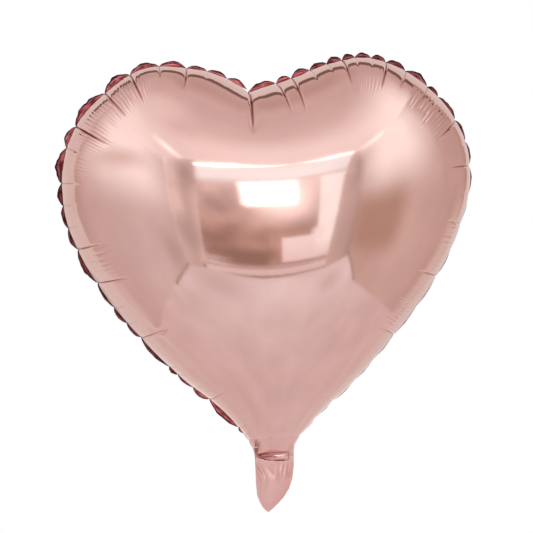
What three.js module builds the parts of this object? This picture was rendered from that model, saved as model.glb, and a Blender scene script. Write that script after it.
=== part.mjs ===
// Heart-shaped foil balloon, inflated, with its inflation tail and self-sealing valve.
//
// Millimetres, +Z up, +X to the right of someone facing the front, front face towards -Y.
// The origin is the middle of the neck, where the tail leaves the heart and a ribbon is tied.
// The real film is about 0.03 mm thick. Every film here is drawn thicker, so that it is a solid.

import * as THREE from 'three';

// Heart, measured round the outer edge of the weld, in the seam plane (x, z).
const NECK_HALF = 20;
const NECK_Z = 3;
const FLANK_START = [62, 53];
const WIDEST = [197, 271];
const LOBE_TOP = [93, 376];
const CLEFT = [0, 349];
const FILLET_HANDLES = [[21, 15], [44, 36]];
const FLANK_HANDLES = [[118, 104], [197, 200]];
const SHOULDER_HANDLES = [[197, 316], [145, 376]];
const LOBE_HANDLES = [[59, 376], [15, 356]];
const HUB = [0, 212];             // middle of the fullest part, from which the rings are drawn
const HALF_DEPTH = 93;            // how far each panel bulges from its rim
const SEGMENTS = { neck: 2, fillet: 6, flank: 17, shoulder: 12, lobe: 9 };
const RINGS = 9;

// Layers, as distances from the seam plane, from the middle of the stack outwards.
const VALVE_IN = 0.25;
const VALVE_OUT = 0.55;
const PRINT_HALF = 0.1;
const WELD_HALF = 0.6;
const FOIL_IN = 0.9;
const FOIL_OUT = 1.6;
const FOIL = FOIL_OUT - FOIL_IN;
const WELD_WIDTH = 6.5;

// Valve sleeve, two flat films that run from the mouth of the tail to well inside the heart.
const VALVE_HALF = 12.5;
const VALVE_TOP = 78;
const PRINT_HALF_WIDTH = 10.5;
const PRINT_TOP = 24;

// Tail, the flattened tube below the neck. Its front film is arched open towards the mouth.
const TAIL_TOP = -3;
const TAIL_END = -56;
const TAIL_CORNER = 11;
const TAIL_WELD = 4;
const ARCH = 7;
const ARCH_FULL = -24;
const TAIL_ROWS = 12;
const TAIL_COLUMNS = 12;
const INLET_COLUMNS = 8;
const INLET_SHORT = 3;            // how far the valve's films stop above the tail's mouth

// ---------------------------------------------------------------- helpers

const add = (p, q, k = 1) => [p[0] + k * q[0], p[1] + k * q[1]];
const mix = (p, q, t) => [p[0] + t * (q[0] - p[0]), p[1] + t * (q[1] - p[1])];

function geometryFrom(vertices, triangles) {
  const geometry = new THREE.BufferGeometry();
  geometry.setAttribute('position', new THREE.Float32BufferAttribute(vertices.flat(), 3));
  geometry.setIndex(triangles.flat());
  geometry.computeVertexNormals();
  return geometry;
}

// Triangles between two closed rings of the same count, given the first vertex of each.
function band(first, next, count) {
  const triangles = [];
  for (let i = 0; i < count; i++) {
    const j = (i + 1) % count;
    triangles.push([first + i, next + i, next + j], [first + i, next + j, first + j]);
  }
  return triangles;
}

// Triangles from one middle vertex to a closed ring.
function fan(middle, first, count) {
  return Array.from({ length: count }, (_, i) => [middle, first + i, first + (i + 1) % count]);
}

const flipped = (triangles) => triangles.map(([a, b, c]) => [a, c, b]);

// A closed slab between two faces of one grid of rows and columns. nearY and farY give each
// grid point's two depths, nearY being the smaller one.
function slab(grid, nearY, farY) {
  const rows = grid.length;
  const columns = grid[0].length;
  const total = rows * columns;
  const near = grid.flat().map(([x, z]) => [x, nearY(x, z), z]);
  const far = grid.flat().map(([x, z]) => [x, farY(x, z), z]);
  const triangles = [];
  for (let r = 0; r < rows - 1; r++) {
    for (let c = 0; c < columns - 1; c++) {
      const a = r * columns + c;
      const d = a + columns;
      const cell = [[a, a + 1, d + 1], [a, d + 1, d]];
      triangles.push(...flipped(cell), ...cell.map((t) => t.map((v) => v + total)));
    }
  }
  const rim = [];
  for (let c = 0; c < columns - 1; c++) rim.push(c);
  for (let r = 0; r < rows - 1; r++) rim.push(r * columns + columns - 1);
  for (let c = columns - 1; c > 0; c--) rim.push((rows - 1) * columns + c);
  for (let r = rows - 1; r > 0; r--) rim.push(r * columns);
  rim.forEach((a, i) => {
    const b = rim[(i + 1) % rim.length];
    triangles.push([a, b, b + total], [a, b + total, a + total]);
  });
  return geometryFrom([...near, ...far], triangles);
}

// ---------------------------------------------------------------- heart outline

// The right half of the outer edge, from the middle of the neck up to the cleft.
function halfOutline() {
  const v = (p) => new THREE.Vector2(...p);
  const bezier = (from, handles, to) => new THREE.CubicBezierCurve(...[from, ...handles, to].map(v));
  const neckCorner = [NECK_HALF, NECK_Z];
  const curves = [
    [new THREE.LineCurve(v([0, NECK_Z]), v(neckCorner)), SEGMENTS.neck],
    [bezier(neckCorner, FILLET_HANDLES, FLANK_START), SEGMENTS.fillet],
    [bezier(FLANK_START, FLANK_HANDLES, WIDEST), SEGMENTS.flank],
    [bezier(WIDEST, SHOULDER_HANDLES, LOBE_TOP), SEGMENTS.shoulder],
    [bezier(LOBE_TOP, LOBE_HANDLES, CLEFT), SEGMENTS.lobe],
  ];
  const points = [[0, NECK_Z]];
  for (const [curve, segments] of curves) {
    points.push(...curve.getSpacedPoints(segments).slice(1).map((p) => [p.x, p.y]));
  }
  return points;
}

// The whole edge, anticlockwise seen from the front, starting in the middle of the neck.
function wholeOutline() {
  const right = halfOutline();
  const left = right.slice(1, -1).reverse().map(([x, z]) => [-x, z]);
  return [...right, ...left];
}

// A closed outline moved inwards by a distance, each point along the bisector of its corner.
function inset(outline, distance) {
  const n = outline.length;
  return outline.map((p, i) => {
    const unit = (q, r) => {
      const length = Math.hypot(r[0] - q[0], r[1] - q[1]);
      return [(r[0] - q[0]) / length, (r[1] - q[1]) / length];
    };
    const before = unit(outline[(i + n - 1) % n], p);
    const after = unit(p, outline[(i + 1) % n]);
    const normals = [[-before[1], before[0]], [-after[1], after[0]]];
    const sum = add(normals[0], normals[1]);
    const scale = 2 / (sum[0] ** 2 + sum[1] ** 2);
    return add(p, sum, distance * scale);
  });
}

const edge = wholeOutline();
const seam = inset(edge, WELD_WIDTH);
const COUNT = edge.length;

// ---------------------------------------------------------------- dome under gas pressure

// Height of a membrane pushed up by even pressure over a flat mesh whose vertices from
// `fixedFrom` on are held down: the discrete equation, relaxed until it settles. Largest is 1.
function membrane(points, triangles, fixedFrom) {
  const links = points.map(() => new Map());
  const load = points.map(() => 0);
  for (const corners of triangles) {
    for (let k = 0; k < 3; k++) {
      const [i, a, b] = [corners[k], corners[(k + 1) % 3], corners[(k + 2) % 3]];
      const u = add(points[a], points[i], -1);
      const w = add(points[b], points[i], -1);
      const cross = Math.abs(u[0] * w[1] - u[1] * w[0]);
      const cotangent = (u[0] * w[0] + u[1] * w[1]) / cross / 2;
      links[a].set(b, (links[a].get(b) ?? 0) + cotangent);
      links[b].set(a, (links[b].get(a) ?? 0) + cotangent);
      load[i] += cross / 6;
    }
  }
  const height = points.map(() => 0);
  const sweeps = 1500;
  for (let sweep = 0; sweep < sweeps; sweep++) {
    for (let i = 0; i < fixedFrom; i++) {
      let pull = load[i];
      let total = 0;
      for (const [j, weight] of links[i]) {
        pull += weight * height[j];
        total += weight;
      }
      height[i] = pull / total;
    }
  }
  const highest = Math.max(...height);
  return height.map((h) => h / highest);
}

// The flat rings of a panel: the hub first, then RINGS rings out to the seam.
const flat = [HUB];
for (let r = 1; r <= RINGS; r++) {
  flat.push(...seam.map((p) => mix(HUB, p, Math.sin((Math.PI / 2) * (r / RINGS)))));
}
const ringStart = (r) => 1 + (r - 1) * COUNT;
const flatTriangles = fan(0, 1, COUNT);
for (let r = 1; r < RINGS; r++) flatTriangles.push(...band(ringStart(r), ringStart(r + 1), COUNT));
const bulge = membrane(flat, flatTriangles, ringStart(RINGS)).map((u) => HALF_DEPTH * Math.sqrt(u));

// One foil panel: a dome, and round it the flat margin that is welded to the other panel.
// side is -1 for the front and 1 for the back.
function foilPanel(side) {
  const outer = flat.map(([x, z], i) => [x, -(FOIL_OUT + bulge[i]), z]);
  const dome = geometryFrom(outer, flatTriangles);
  const normals = dome.getAttribute('normal');
  const inner = outer.slice(0, ringStart(RINGS)).map((p, i) => {
    const n = [normals.getX(i), normals.getY(i), normals.getZ(i)];
    return p.map((value, k) => value - FOIL * n[k]);
  });
  const vertices = [
    ...outer,
    ...edge.map(([x, z]) => [x, -FOIL_OUT, z]),
    ...edge.map(([x, z]) => [x, -FOIL_IN, z]),
    ...inset(seam, FOIL).map(([x, z]) => [x, -FOIL_IN, z]),
    ...inner,
  ];
  const edgeOut = outer.length;
  const edgeIn = edgeOut + COUNT;
  const innerRim = edgeIn + COUNT;
  const innerStart = innerRim + COUNT;
  const triangles = [
    ...flatTriangles,
    ...band(ringStart(RINGS), edgeOut, COUNT),
    ...band(edgeOut, edgeIn, COUNT),
    ...band(edgeIn, innerRim, COUNT),
    ...band(innerRim, innerStart + ringStart(RINGS - 1), COUNT),
    ...flipped(flatTriangles.slice(0, COUNT + 2 * COUNT * (RINGS - 2)))
      .map((t) => t.map((v) => v + innerStart)),
  ];
  if (side < 0) return geometryFrom(vertices, triangles);
  return geometryFrom(vertices.map(([x, y, z]) => [x, -y, z]), flipped(triangles));
}

// The fused sealant between the two margins, from one side of the neck round to the other.
function seamWeld() {
  const from = SEGMENTS.neck;
  const to = COUNT - SEGMENTS.neck;
  const grid = edge.map((p, i) => [p, seam[i]]).slice(from, to + 1);
  return slab(grid, () => -WELD_HALF, () => WELD_HALF);
}

// ---------------------------------------------------------------- valve

function rectangle(halfWidth, low, high) {
  return [low, high].map((z) => [[-halfWidth, z], [halfWidth, z]]).reverse();
}

const valveSheet = (near, far) => slab(rectangle(VALVE_HALF, NECK_Z, VALVE_TOP), () => near, () => far);

// ---------------------------------------------------------------- tail

// Half the tail's width at a height: straight sides, then round corners at the mouth.
function tailHalf(z) {
  const down = Math.max(0, TAIL_END + TAIL_CORNER - z);
  return NECK_HALF - TAIL_CORNER + Math.sqrt(TAIL_CORNER ** 2 - down ** 2);
}

// Rows of points across the tail, from the neck down to the mouth, drawn in from its edge.
function tailGrid(inFromEdge, rows = TAIL_ROWS, columns = TAIL_COLUMNS) {
  return Array.from({ length: rows + 1 }, (_, r) => {
    const z = TAIL_TOP + (TAIL_END - TAIL_TOP) * Math.sin((Math.PI / 2) * (r / rows));
    const half = tailHalf(z) - inFromEdge;
    return Array.from({ length: columns + 1 }, (__, c) => [half * (2 * c / columns - 1), z]);
  });
}

// How far the front film stands open: flat at the neck, fully arched near the mouth.
function arch(x, z) {
  const along = THREE.MathUtils.smoothstep(TAIL_TOP - z, 1, TAIL_TOP - ARCH_FULL);
  const across = Math.max(0, 1 - (x / (NECK_HALF - TAIL_WELD)) ** 2);
  return ARCH * along * across;
}

// One weld strip along a straight side of the tail. side is -1 for the left and 1 for the right.
function tailWeld(side) {
  const height = TAIL_TOP - (TAIL_END + TAIL_CORNER);
  const strip = new THREE.BoxGeometry(TAIL_WELD, 2 * WELD_HALF, height);
  return strip.translate(side * (NECK_HALF - TAIL_WELD / 2), 0, TAIL_TOP - height / 2);
}

// The valve's two films inside the tail, between its weld strips.
const inletGrid = tailGrid(NECK_HALF - VALVE_HALF, TAIL_ROWS, INLET_COLUMNS)
  .map((row) => row.filter(([, z]) => z > TAIL_END + INLET_SHORT))
  .filter((row) => row.length);

// ---------------------------------------------------------------- assembly

const foil = { color: 0xd39d90, roughness: 0.12, metalness: 1 };
const weldLook = { color: 0x9c4a50, roughness: 0.35, metalness: 0.6 };
const filmLook = { color: 0xe9e6df, roughness: 0.25, metalness: 0, transparent: true, opacity: 0.6 };
const printLook = { color: 0xb9c4bd, roughness: 0.6, metalness: 0 };

const balloon = new THREE.Group();

function piece(name, geometry, look) {
  const mesh = new THREE.Mesh(geometry, new THREE.MeshStandardMaterial(look));
  mesh.name = name;
  balloon.add(mesh);
}

piece('front_foil', foilPanel(-1), foil);
piece('back_foil', foilPanel(1), foil);
piece('seam_weld', seamWeld(), weldLook);
piece('valve_front_film', valveSheet(-VALVE_OUT, -VALVE_IN), filmLook);
piece('valve_back_film', valveSheet(VALVE_IN, VALVE_OUT), filmLook);
piece('valve_release_print',
  slab(rectangle(PRINT_HALF_WIDTH, NECK_Z, PRINT_TOP), () => -PRINT_HALF, () => PRINT_HALF), printLook);
piece('tail_front_foil',
  slab(tailGrid(0), (x, z) => -FOIL_OUT - arch(x, z), (x, z) => -FOIL_IN - arch(x, z)), foil);
piece('tail_back_foil', slab(tailGrid(0, TAIL_ROWS, 2), () => FOIL_IN, () => FOIL_OUT), foil);
piece('tail_weld_left', tailWeld(-1), weldLook);
piece('tail_weld_right', tailWeld(1), weldLook);
piece('inlet_front_film',
  slab(inletGrid, (x, z) => -VALVE_OUT - arch(x, z), (x, z) => -VALVE_IN - arch(x, z)), filmLook);
piece('inlet_back_film', slab(inletGrid, () => VALVE_IN, () => VALVE_OUT), filmLook);

export default balloon;
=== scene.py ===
"""Looks of the heart-shaped foil balloon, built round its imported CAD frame.

Metres, +Z up, the front towards -Y."""
import math

import bpy
import numpy as np
from mathutils import Matrix, Vector


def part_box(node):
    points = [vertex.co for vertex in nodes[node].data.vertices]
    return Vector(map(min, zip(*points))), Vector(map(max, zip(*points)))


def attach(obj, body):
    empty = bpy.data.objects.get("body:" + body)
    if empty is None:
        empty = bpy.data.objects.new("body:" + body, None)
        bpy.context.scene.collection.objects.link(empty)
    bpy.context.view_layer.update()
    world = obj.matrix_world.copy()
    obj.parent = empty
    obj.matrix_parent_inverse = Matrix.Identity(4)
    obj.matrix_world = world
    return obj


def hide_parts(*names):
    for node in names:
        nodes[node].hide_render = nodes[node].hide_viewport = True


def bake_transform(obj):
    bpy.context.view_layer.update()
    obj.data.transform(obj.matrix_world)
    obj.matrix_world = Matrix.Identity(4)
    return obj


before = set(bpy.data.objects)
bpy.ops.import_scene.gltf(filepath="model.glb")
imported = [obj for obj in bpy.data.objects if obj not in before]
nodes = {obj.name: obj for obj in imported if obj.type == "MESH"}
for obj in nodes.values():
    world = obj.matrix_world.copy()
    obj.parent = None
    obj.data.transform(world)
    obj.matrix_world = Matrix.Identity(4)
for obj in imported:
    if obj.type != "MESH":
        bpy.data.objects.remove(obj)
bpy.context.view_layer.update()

# -------------------- driving dimensions

# The heart's outer edge in the seam plane: the same curves as the CAD.
NECK_Z = 0.003
HALF_EDGE = [
    [(0.02, 0.003), (0.021, 0.015), (0.044, 0.036), (0.062, 0.053)],
    [(0.062, 0.053), (0.118, 0.104), (0.197, 0.2), (0.197, 0.271)],
    [(0.197, 0.271), (0.197, 0.316), (0.145, 0.376), (0.093, 0.376)],
    [(0.093, 0.376), (0.059, 0.376), (0.015, 0.356), (0.000, 0.349)],
]
HUB = np.array([0.0, 0.212])
DOME_DEPTH = -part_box("front_foil")[0].y   # how far the front dome stands from the seam plane
FILM = 0.0003                             # drawn thickness of one film

COLUMNS = 1120     # round the seam
RIM_RINGS = 24      # from the seam to where the puckers have died out
HUB_RINGS = 18      # from there to the hub
FLANGE_ROWS = 9                           # across the flange
CREASE_DEPTH = 0.003                      # of the deepest crease
CREASE_WIDTH = 0.0008                     # from its bottom to where it is a third as deep
CREASE_ROUND = 0.00015                    # how rounded the bottom of a crease is
FOLD_SHADE_WIDTH = 0.0007                       # half the width of the painted shade line along a crease's bottom
HOLLOW_DEPTH = 0.001                      # of the broad hollow on both sides of a crease
HOLLOW_WIDTH = 0.011                      # from the crease to where it is a third as deep
OVERHANG = 0.0016                         # how far the film bellies out past the seam
SEAM_SWAY = 0.0016                        # how far a crease of full depth pushes the seam out of its plane

# How far this balloon's outline stands out from the even heart: (distance from the neck, outwards).
SWELL_RIGHT = [
    (0, 0), (0.018, 0), (0.027, 0.002), (0.038, 0.0024), (0.052, 0.0018), (0.08, 0.0048),
    (0.16, 0.0068), (0.2, 0.009), (0.245, 0.0102), (0.29, 0.009), (0.34, 0.0076), (0.385, 0.0068),
    (0.42, 0.0045), (0.455, 0.0028), (0.49, 0.0004), (0.52, -0.0022), (0.56, -0.005),
    (0.585, -0.004), (0.61, -0.001),
]
SWELL_LEFT = [
    (0, 0), (0.018, 0), (0.027, 0.0022), (0.037, 0.003), (0.052, 0.0018), (0.08, 0.0008),
    (0.2, 0.002), (0.27, 0.0004), (0.3, -0.002), (0.34, -0.0065), (0.372, -0.0065),
    (0.41, -0.004), (0.45, -0.0052), (0.49, -0.0012), (0.53, 0.001), (0.57, 0.0028), (0.61, 0),
]
CLEFT_ASIDE = 0.004               # how far the cleft lies to the left of the middle

# Where the seam lies inside the outer edge: (distance from the neck, inset), for each side.
# On the right the film bellies out as far as the edge and hides the flange.
INSET_RIGHT = [
    (0, 0.003), (0.02, 0.0032), (0.03, 0.0016), (0.038, -0.0008), (0.05, 0.0012), (0.32, 0.0012),
    (0.37, 0.0052), (0.61, 0.0058),
]
INSET_LEFT = [
    (0, 0.003), (0.022, 0.0028), (0.036, 0.0034), (0.05, 0.005), (0.088, 0.005), (0.11, 0.0036),
    (0.31, 0.0042), (0.36, 0.006), (0.61, 0.0058),
]
# How far the creases drift towards the cleft for each unit they run in from the seam.
DRIFT_RIGHT = [
    (0, 0), (0.1, -0.1), (0.164, -0.15), (0.232, -0.25), (0.286, -0.2), (0.34, -0.1), (0.384, -0.24),
    (0.425, -0.1), (0.47, 0), (0.562, 0), (0.58, 0.3), (0.59, 0),
]
DRIFT_LEFT = [
    (0, 0), (0.06, 0), (0.084, -0.2), (0.172, -0.28), (0.238, -0.4), (0.275, -0.22), (0.342, -0.15),
    (0.405, 0), (0.61, 0),
]
# The flange: (distance from the neck, full width, degrees it leans back out of the seam plane).
FLANGE_RIGHT = [
    (0, 0.004, 92), (0.305, 0.004, 92), (0.375, 0.0054, 30), (0.52, 0.005, 24), (0.61, 0.0054, 20),
]
FLANGE_LEFT = [
    (0, 0.005, 15), (0.088, 0.005, 15), (0.1, 0.0052, 58), (0.3, 0.0052, 52), (0.35, 0.0054, 25),
    (0.46, 0.0053, 22), (0.52, 0.005, 22), (0.61, 0.0048, 20),
]

# Creases that run in from the seam: distance from the neck along the edge, length, depth as a share.
CREASES_RIGHT = [
    (0.034, 0.008, 0.6), (0.055, 0.008, 0.25), (0.078, 0.014, 0.55), (0.106, 0.012, 0.25),
    (0.134, 0.015, 0.3), (0.164, 0.022, 0.6), (0.198, 0.015, 0.3), (0.232, 0.026, 0.7),
    (0.262, 0.014, 0.25), (0.286, 0.02, 0.5), (0.313, 0.012, 0.25), (0.34, 0.028, 0.8),
    (0.362, 0.012, 0.3), (0.384, 0.032, 0.8), (0.411, 0.014, 0.35), (0.425, 0.028, 0.6),
    (0.451, 0.02, 0.6), (0.472, 0.028, 0.8), (0.487, 0.01, 0.3), (0.504, 0.01, 0.35),
    (0.517, 0.026, 0.8), (0.533, 0.01, 0.35), (0.551, 0.012, 0.4), (0.571, 0.04, 0.9),
    (0.586, 0.032, 0.9),
]
CREASES_LEFT = [
    (0.029, 0.008, 0.5), (0.037, 0.007, 0.4), (0.045, 0.01, 0.4), (0.084, 0.018, 0.6),
    (0.103, 0.01, 0.3), (0.122, 0.008, 0.3), (0.133, 0.008, 0.25), (0.172, 0.026, 0.7),
    (0.191, 0.01, 0.3), (0.21, 0.012, 0.35), (0.238, 0.03, 0.8), (0.275, 0.025, 0.8),
    (0.297, 0.01, 0.35), (0.319, 0.012, 0.4), (0.342, 0.018, 0.5), (0.381, 0.015, 0.5),
    (0.405, 0.034, 0.8), (0.45, 0.03, 0.8), (0.482, 0.028, 0.9), (0.513, 0.012, 0.7),
    (0.54, 0.022, 0.9), (0.56, 0.008, 0.3), (0.58, 0.008, 0.3),
]
CLEFT_CREASE = (0.6112, 0.078, 1.2)
# Bands of fine ripples: side, from, to along the edge, from and to in from the seam, height.
RIPPLES = [
    (-1, 0.395, 0.45, 0.006, 0.038, 0.0011), (-1, 0.45, 0.5, 0.004, 0.034, 0.00085),
    (-1, 0.352, 0.388, 0.008, 0.03, 0.0005), (1, 0.388, 0.432, 0.006, 0.036, 0.0011),
    (1, 0.242, 0.29, 0.002, 0.022, 0.0008), (1, 0.16, 0.222, 0.004, 0.028, 0.0004),
    (-1, 0.242, 0.275, 0.01, 0.034, 0.0006), (1, 0.47, 0.512, 0.01, 0.042, 0.00035),
]
RIPPLE_PITCH = 0.0045


# -------------------- small helpers

def smooth(low, high, x):
    t = np.clip((x - low) / (high - low), 0, 1)
    return t * t * (3 - 2 * t)


def unit(v):
    return v / np.maximum(np.linalg.norm(v, axis=-1, keepdims=True), 1e-12)


def new_object(name, data):
    obj = bpy.data.objects.new(name, data)
    bpy.context.scene.collection.objects.link(obj)
    return obj


def piece(name, points, faces, material):
    mesh = bpy.data.meshes.new(name)
    mesh.from_pydata(np.asarray(points).reshape(-1, 3).tolist(), [], [list(map(int, f)) for f in faces])
    mesh.polygons.foreach_set("use_smooth", [True] * len(mesh.polygons))
    mesh.materials.append(material)
    return new_object(name, mesh)


def grid_faces(rows, columns, closed, start=0):
    """Quads of a grid stored row by row. closed joins the last column to the first."""
    r, c = np.meshgrid(np.arange(rows - 1), np.arange(columns if closed else columns - 1), indexing="ij")
    a = start + r * columns + c
    b = start + r * columns + (c + 1) % columns
    return np.stack([a, b, b + columns, a + columns], axis=-1).reshape(-1, 4)


def lay_out(obj, name, uv):
    """Add a UV layer from one pair of values for each vertex."""
    layer = obj.data.uv_layers.new(name=name)
    index = np.empty(len(obj.data.loops), dtype=np.int32)
    obj.data.loops.foreach_get("vertex_index", index)
    layer.data.foreach_set("uv", uv[index].ravel())


def lay_out_fold_shade(film, fold):
    """Keep how much painted shade the film gets in its folds at each vertex, the same on its outer and
    inner face.
    """
    lay_out(film, "fold", np.tile(np.stack([fold, fold], axis=1), (2, 1)))


# -------------------- the heart's edge

def bezier(p, count):
    t = np.linspace(0, 1, count)[:, None]
    a, b, c, d = (np.array(q) for q in p)
    return (1 - t) ** 3 * a + 3 * (1 - t) ** 2 * t * b + 3 * (1 - t) * t * t * c + t ** 3 * d


def whole_edge(samples=400):
    """The closed edge, anticlockwise seen from the front, from the middle of the neck."""
    curves = [bezier(p, samples)[i > 0:] for i, p in enumerate(HALF_EDGE)]
    right = np.concatenate([[[0.0, NECK_Z]], *curves])
    edge = np.concatenate([right, right[1:-1][::-1] * [-1, 1]])
    edge[:, 0] -= CLEFT_ASIDE * np.exp(-(edge[:, 0] / 0.035) ** 2) * (edge[:, 1] > HUB[1])
    return edge


def arc_lengths(closed):
    steps = np.linalg.norm(np.diff(np.concatenate([closed, closed[:1]]), axis=0), axis=1)
    return np.concatenate([[0], np.cumsum(steps)])


EDGE = whole_edge()
EDGE_AT = arc_lengths(EDGE)
AROUND = EDGE_AT[-1]


def edge_at(at):
    ring = np.concatenate([EDGE, EDGE[:1]])
    return np.stack([np.interp(at % AROUND, EDGE_AT, ring[:, k]) for k in range(2)], axis=1)


def from_neck(at):
    """Distance from the neck along the nearer side, and the side: 1 right, -1 left."""
    return np.minimum(at, AROUND - at), np.where(at <= AROUND / 2, 1, -1)


def inward(at, spread=0.007):
    """The edge's inward direction, averaged over a short stretch so that corners fan out evenly."""
    offsets = np.linspace(-2 * spread, 2 * spread, 17)
    total = 0
    for o in offsets:
        step = edge_at(at + o + 0.0008) - edge_at(at + o - 0.0008)
        normal = unit(np.stack([-step[:, 1], step[:, 0]], axis=1))
        total = total + normal * math.exp(-(o / spread) ** 2)
    return unit(total)


def profile(at, right, left, column=1):
    """A value that changes along the edge, read from one list for each side and smoothed a little."""
    total = 0
    for offset in np.linspace(-0.012, 0.012, 9):
        distance, side = from_neck((at + offset) % AROUND)
        values = [np.interp(distance, [row[0] for row in rows], [row[column] for row in rows])
                  for rows in (right, left)]
        total = total + np.where(side > 0, *values)
    return total / 9


def seam_at(at):
    """The line where the domes meet, inside the edge, and just below the neck."""
    inset = profile(at, INSET_RIGHT, INSET_LEFT) - profile(at, SWELL_RIGHT, SWELL_LEFT)
    return edge_at(at) + inward(at) * inset[:, None]


def column_places():
    """Where the mesh columns stand along the edge, closer together at creases and ripples."""
    fine = np.linspace(0, AROUND, 12001)
    density = np.ones(len(fine))
    distance, side = from_neck(fine)
    density += 1.5 * (1 - smooth(0.035, 0.055, distance))
    for ripple_side, low, high, *_ in RIPPLES:
        here = smooth(low - 0.02, low, distance) * (1 - smooth(high, high + 0.02, distance))
        density = np.maximum(density, 1 + 4.0 * (side == ripple_side) * here)
    for place, _, share in all_creases():
        density += (4 + 14 * min(share, 0.8)) * np.exp(-(near(fine, place) / 0.0011) ** 2)
    total = np.concatenate([[0], np.cumsum((density[1:] + density[:-1]) / 2)])
    return np.interp(np.arange(COLUMNS) / COLUMNS, total / total[-1], fine)


# -------------------- dome under gas pressure

class Dome:
    """A membrane over the seam's outline under even pressure: u with laplacian -1 and u = 0 on the seam.

    u is a paraboloid plus point sources outside the outline, so strong that u vanishes on the seam."""

    def __init__(self, sources=260, offset=0.012, tests=1300):
        at = np.linspace(0, AROUND, sources, endpoint=False) + 0.002
        self.sources = seam_at(at) - inward(at, 0.004) * offset
        test = seam_at(np.linspace(0, AROUND, tests, endpoint=False))
        system = np.concatenate([self.potentials(test), np.ones((len(test), 1))], axis=1)
        strengths = np.linalg.lstsq(system, ((test - HUB) ** 2).sum(1) / 4, rcond=1e-10)[0]
        self.strengths, self.level = strengths[:-1], strengths[-1]

    def potentials(self, p):
        gap = p[:, None] - self.sources[None]
        return 0.5 * np.log((gap ** 2).sum(-1))

    def value_and_slope(self, p):
        values, slopes = [], []
        for part in np.array_split(p, max(1, len(p) // 4000)):
            gap = part[:, None] - self.sources[None]
            square = (gap ** 2).sum(-1)
            pushed = 0.5 * np.log(square) @ self.strengths
            values.append(pushed + self.level - ((part - HUB) ** 2).sum(1) / 4)
            pull = (gap / square[..., None] * self.strengths[None, :, None]).sum(1)
            slopes.append(pull - (part - HUB) / 2)
        return np.concatenate(values), np.concatenate(slopes)


def spread_out(ring):
    """The shift that keeps a ring's points in order round the hub, so that no mesh columns cross."""
    arm = ring - HUB
    least = 0.00005 * np.arange(len(ring))
    turn = np.unwrap(np.arctan2(arm[:, 0], -arm[:, 1])) - least
    turn = (np.maximum.accumulate(turn) + np.minimum.accumulate(turn[::-1])[::-1]) / 2 + least
    length = np.linalg.norm(arm, axis=1, keepdims=True)
    return HUB + length * np.stack([np.sin(turn), -np.cos(turn)], axis=1) - ring


def flat_grid(at):
    """Mesh points on the flat heart: rings square to the seam near it, then rings closing on the hub."""
    seam, normal = seam_at(at), inward(at, 0.01)
    distance, side = from_neck(at)
    along = np.stack([normal[:, 1], -normal[:, 0]], axis=1)
    normal = unit(normal + along * (side * profile(at, DRIFT_RIGHT, DRIFT_LEFT))[:, None])
    reach = 0.0012 + 0.0448 * smooth(0, 0.19, distance)
    depth = reach[None] * (np.linspace(0, 1, RIM_RINGS + 1)[:, None] ** 1.8)
    rim = seam[None] + normal[None] * depth[..., None]
    rim = rim + spread_out(rim[-1]) * ((depth / reach) ** 2)[..., None]
    step = np.linspace(0, 1, HUB_RINGS + 1)[1:-1, None]
    crowd = 0.85 * (1 - reach / 0.046)[None]
    share = 1 - step * (1 - crowd + crowd * step)
    hub = HUB + (rim[-1:] - HUB) * share[..., None]
    return np.concatenate([rim, hub]), depth, reach


# -------------------- puckers

def near(at, place):
    """Signed distance along the edge from a place, the short way round."""
    return (at - place + AROUND / 2) % AROUND - AROUND / 2


def all_creases():
    left = [(AROUND - at, length, depth) for at, length, depth in CREASES_LEFT]
    return [*CREASES_RIGHT, CLEFT_CREASE, *left]


def puckers(at, depth, back):
    """How far the film stands out from the smooth dome near the seam, and how much painted shade its folds
    get.
    """
    jitter = np.random.default_rng(11 if back else 3)
    waves, fold = ripples(at, depth, back)
    fold = 0.55 * fold
    out = waves + OVERHANG * np.exp(-depth / 0.025)
    for place, length, share in all_creases():
        if back:
            length = length * jitter.uniform(0.6, 1.4)
        x = near(at, place)[None]
        fade = np.clip(1 - depth / length, 0, 1) ** 0.6 * (0.6 + 0.4 * smooth(0, 0.006, depth))
        width = CREASE_WIDTH * (1 + 0.7 * np.exp(-depth / 0.004))
        crease = np.exp(-(np.sqrt(x * x + CREASE_ROUND ** 2) - CREASE_ROUND) / width)
        hollow = np.exp(-(x / HOLLOW_WIDTH) ** 2) * np.exp(-depth / (0.5 * length))
        out = out - share * (CREASE_DEPTH * fade * crease + HOLLOW_DEPTH * hollow)
        # Painted shade: a dark line along the bottom of the crease, fading as the crease runs in.
        fold_fade = np.clip(1.1 - depth / (0.85 * length), 0, 1) ** 0.8
        fold = fold + min(1, 1.2 * share) * fold_fade * np.exp(-(x / FOLD_SHADE_WIDTH) ** 2)
    return out, np.clip(fold, 0, 1)


def ripples(at, depth, back):
    """Fine parallel ripples, and how far each point lies in the bottom of one, from 0 to 1, which sets
    their painted shade.
    """
    distance, side = from_neck(at)
    phase = distance / RIPPLE_PITCH + 0.35 * np.sin(distance * 61) + 0.2 * np.sin(distance * 173 + 1)
    wave = np.abs(np.sin(np.pi * phase)) ** 0.8 - 0.6
    valley = np.exp(-((phase - np.round(phase)) / 0.09) ** 2)
    strong = 0.75 + 0.25 * np.sin(distance * 97 + 0.5)
    out, bottom = np.zeros_like(depth), np.zeros_like(depth)
    for ripple_side, low, high, near_seam, far, height in RIPPLES:
        if back:
            low, high = low + 0.02, high + 0.02
        here = (side == ripple_side) * smooth(low - 0.008, low + 0.008, distance) * (
            1 - smooth(high - 0.008, high + 0.008, distance))
        ends = 0.004 * np.sin(np.round(phase) * 2.4) + 0.003 * np.sin(np.round(phase) * 5.1)
        across = smooth(near_seam - 0.004, near_seam + 0.006, depth + ends) * (
            1 - smooth(far - 0.018, far - 0.004, depth + ends))
        out += height * (wave * strong * here)[None] * across
        # Painted shade in the ripple bottoms.
        bottom += min(1, height / 0.001) * (valley * strong * here)[None] * across
    return out, bottom


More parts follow.
